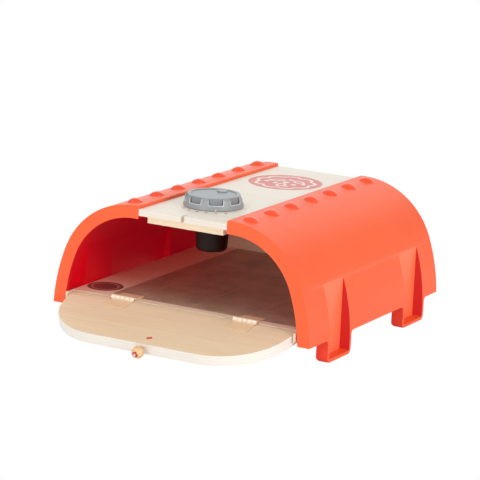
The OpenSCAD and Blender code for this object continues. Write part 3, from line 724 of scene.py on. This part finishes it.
print("boards, shells, hinges and dial rounded")

rivetLook = {   # mm; the shoulder arc's centre is given from the middle and from the soles
    "centre": (56.704, 53), "arc": 86, "x": 67.5, "first": 19.3, "pitch": 43.2333, "count": 7,
    "radius": 8.0, "height": 3.8, "sink": 0.6, "lip": 0.5, "stem": 2.0, "stemLength": 4.4,
}


def makeRivets(side, name, node):
    # the dome's own radius = (radius^2 + height^2) / (2 height); a small lip rounds its foot
    look = rivetLook
    capR = (look["radius"] ** 2 + look["height"] ** 2) / (2 * look["height"])
    reach = math.asin((look["radius"] - look["lip"]) / capR)
    a = np.linspace(0, reach, 14)
    dome = np.stack([capR * np.sin(a), look["height"] - capR * (1 - np.cos(a))], 1)
    b = np.linspace(0.2, 1.4, 5)
    foot = dome[-1] + look["lip"] * np.stack([np.sin(b), np.cos(b) - 1], 1)
    skirt = [[foot[-1][0], -look["sink"]], [look["stem"], -look["sink"]], [look["stem"], -look["stemLength"]],
             [0, -look["stemLength"]]]
    head = revolved(np.concatenate([dome, foot, skirt]), 48)
    tilt = math.asin((look["x"] - look["centre"][0]) / look["arc"])
    x, y, z = np.moveaxis(head, -1, 0)
    z = z + look["arc"]
    turned = np.stack([
        side * (look["centre"][0] + x * math.cos(tilt) + z * math.sin(tilt)), y,
        look["centre"][1] - x * math.sin(tilt) + z * math.cos(tilt)], -1)
    places = look["first"] + look["pitch"] * np.arange(look["count"])
    mesh = gridMesh(name, [(turned + [0, place, 0]) * mm + [0, frontY, 0] for place in places])
    meshWork(mesh)
    newPiece(name, mesh, "rivet", "housing", (node,))


makeRivets(-1, "leftRivets", "left_rivets")
makeRivets(1, "rightRivets", "right_rivets")
print("rivets made")

pull = {   # mm along the door from the hinge line; depth below it
    "depth": 6.5, "bead": 91.1, "beadRadius": 6.2, "bore": 1.25, "pocket": 2.95,
    "pocketFloor": 2.5,                              # below the outer knot's middle
    "knot": 95.6, "cordRadius": 1.2, "cordFrom": 48.3, "cordTo": 94.4, "hole": 68.8, "holeKnotZ": -1.75,
    "cordBraid": (4, 18), "knotBraid": (4, 14),      # strands round and along
}

knots = {   # mm; a knot's size, its height and its strand's radius, and the short ends
    "outer": (0.58, 0.8), "outerStrand": 1.08, "outerLift": 0.35,
    "stub": (-1.6, 2.15), "stubRadius": [1.5] * 6 + [1.65, 1.4],
    "core": [[0, 2.55], [0.7, 2.5], [1.15, 2.3], [1.35, 1.9], [1.3, 1.5]],
    "inner": (0.46, 0.85), "innerStrand": 0.98, "innerLean": 0.6,
    "tail": [[-0.6, 0, -1.2], [0.6, 0.1, 0], [1.7, 0.3, 0.9], [2.6, 0.45, 1.3], [3.0, 0.5, 1.35]],
    "tailRadius": [1.15, 1.2, 1.3, 1.2, 0.5],
}


def makeBead():
    # a sphere, r = sqrt(radius^2 - h^2), from the bore at the door's side to the wide pocket at the other
    radius, bore, pocket = pull["beadRadius"], pull["bore"], pull["pocket"]
    low = -math.sqrt(radius ** 2 - (bore + 0.5) ** 2)
    high = math.sqrt(radius ** 2 - (pocket + 0.45) ** 2)
    a = np.linspace(math.asin(low / radius), math.asin(high / radius), 40)
    ball = np.stack([radius * np.cos(a), radius * np.sin(a)], 1)
    floor = pull["knot"] - pull["bead"] - pull["pocketFloor"]
    lip = [[pocket + 0.12, high + 0.05], [pocket, high - 0.4], [pocket, floor], [bore, floor]]
    inner = [[bore, low + 0.6], [bore + 0.15, low + 0.1], [bore + 0.5, low]]
    points = alongCord(revolved(np.concatenate([ball, lip, inner]), 64), pull["bead"], pull["depth"])
    mesh = gridMesh("beadBall", [points])
    meshWork(mesh)
    newPiece("beadBall", mesh, "bead", "bead", ("bead",))


def trefoil(size, flat):
    # (sin t + 2 sin 2t, cos t - 2 cos 2t, -sin 3t), the overhand knot as a closed loop
    t = np.linspace(0, 2 * np.pi, 121)
    return np.stack([size * (np.sin(t) + 2 * np.sin(2 * t)), size * (np.cos(t) - 2 * np.cos(2 * t)),
                     -flat * np.sin(3 * t)], -1)


def makeCord():
    # a straight tube of circles along the cord's line; each knot is a tube along its trefoil
    path = np.zeros((60, 3))
    path[:, 2] = np.linspace(pull["cordFrom"], pull["cordTo"], 60)
    cord = alongCord(tube(path, pull["cordRadius"], 20), 0, pull["depth"])
    mesh = gridMesh("elasticCord", [cord], pull["cordBraid"])
    meshWork(mesh)
    newPiece("elasticCord", mesh, "cord", "bead", ("elastic_cord",))
    # knot in the bead's pocket, with the cord's cut end standing in its middle
    loop = tube(trefoil(*knots["outer"]), knots["outerStrand"], 16) + [0, 0, knots["outerLift"]]
    heights = np.linspace(*knots["stub"], len(knots["stubRadius"]))
    stub = tube([[0, 0, z] for z in heights], knots["stubRadius"], 20)
    parts = [alongCord(p, pull["knot"], pull["depth"]) for p in (loop, stub)]
    mesh = gridMesh("outerKnot", parts, pull["knotBraid"])
    meshWork(mesh)
    newPiece("outerKnot", mesh, "cord", "bead", ("outer_knot",))
    core = alongCord(revolved(knots["core"], 24), pull["knot"], pull["depth"])
    mesh = gridMesh("cordCore", [core])
    meshWork(mesh)
    newPiece("cordCore", mesh, "core", "bead")
    # knot in the door's hole: it leans to the right, with a short end that stands up
    loop = tube(trefoil(*knots["inner"]), knots["innerStrand"], 16) + [knots["innerLean"], 0, 0]
    tail = tube(knots["tail"], knots["tailRadius"], 16)
    place = np.array([0, -pull["hole"], pull["holeKnotZ"]])
    mesh = gridMesh("innerKnot", [onDoor(p + place) for p in (loop, tail)], pull["knotBraid"])
    meshWork(mesh)
    newPiece("innerKnot", mesh, "cord", "door", ("inner_knot",))


makeBead()
makeCord()
print("bead, cord and knots made")

studio = {
    "world": 0.64, "glossLow": 0.6, "glossHigh": 0.12, "glossRise": 0.45,
    "floor": 0.93, "reach": 6,                       # the floor's grey, and how far it goes (m)
    "lamps": [   # name, place (m), aim (m), size (m), watts
        ("key", (-1.3, -1.0, 2.4), (0, 0, 0.05), 1.5, 15),
        ("fill", (2.6, -0.9, 0.95), (0, 0, 0.06), 0.8, 30),
        ("front", (-0.4, -2.8, 0.4), (0, 0, 0.05), 1.2, 17),
        ("card", (-1.3, 3.6, 1.4), (0, 0, 0.08), 4.2, 60),
    ],
}


def makeStudio():
    # the camera sees pure white; the object is lit by a dimmer white room, four lamps and the pale floor.
    # what shiny surfaces see of the room falls smoothly from glossLow at the horizon to glossHigh above
    scene = bpy.context.scene
    scene.view_settings.view_transform = "Standard"
    world = bpy.data.worlds.new("studio")
    scene.world = world
    world.use_nodes = True
    tree = world.node_tree
    back = tree.nodes["Background"]
    back.inputs["Color"].default_value = (1, 1, 1, 1)
    path = tree.nodes.new("ShaderNodeLightPath")
    axes = tree.nodes.new("ShaderNodeSeparateXYZ")
    tree.links.new(tree.nodes.new("ShaderNodeNewGeometry").outputs["Incoming"], axes.inputs[0])
    fade = tree.nodes.new("ShaderNodeMapRange")
    fade.interpolation_type = "SMOOTHSTEP"
    for socket, value in (("From Min", 0), ("From Max", -studio["glossRise"]),
                          ("To Min", studio["glossLow"]), ("To Max", studio["glossHigh"])):
        fade.inputs[socket].default_value = value
    tree.links.new(axes.outputs[2], fade.inputs["Value"])
    gloss = tree.nodes.new("ShaderNodeMapRange")
    gloss.inputs["To Min"].default_value = studio["world"]
    tree.links.new(fade.outputs[0], gloss.inputs["To Max"])
    tree.links.new(path.outputs["Is Glossy Ray"], gloss.inputs["Value"])
    strength = tree.nodes.new("ShaderNodeMapRange")
    strength.inputs["To Max"].default_value = 1.0
    tree.links.new(gloss.outputs[0], strength.inputs["To Min"])
    tree.links.new(path.outputs["Is Camera Ray"], strength.inputs["Value"])
    tree.links.new(strength.outputs[0], back.inputs["Strength"])
    for name, place, aim, size, watts in studio["lamps"]:
        data = bpy.data.lights.new(name, "AREA")
        data.size = size
        data.energy = watts
        obj = bpy.data.objects.new(name, data)
        scene.collection.objects.link(obj)
        obj.location = place
        obj.rotation_euler = (Vector(aim) - Vector(place)).to_track_quat("-Z", "Y").to_euler()
    mesh = bpy.data.meshes.new("studioFloor")
    r = studio["reach"]
    mesh.from_pydata([(-r, -r, 0), (r, -r, 0), (r, r, 0), (-r, r, 0)], [], [(0, 1, 2, 3)])
    floor = bpy.data.objects.new("studioFloor", mesh)
    scene.collection.objects.link(floor)
    paint = Paint("studioWhite", Roughness=0.9, Specular_IOR_Level=0.1)
    paint.shader.inputs["Base Color"].default_value = (studio["floor"],) * 3 + (1,)
    tree = paint.tree
    glow = tree.nodes.new("ShaderNodeEmission")
    path = tree.nodes.new("ShaderNodeLightPath")
    blend = tree.nodes.new("ShaderNodeMixShader")
    tree.links.new(path.outputs["Is Camera Ray"], blend.inputs[0])
    tree.links.new(paint.shader.outputs[0], blend.inputs[1])
    tree.links.new(glow.outputs[0], blend.inputs[2])
    tree.links.new(blend.outputs[0], tree.nodes["Material Output"].inputs["Surface"])
    mesh.materials.append(paint.material)


makeStudio()
print("studio lit")
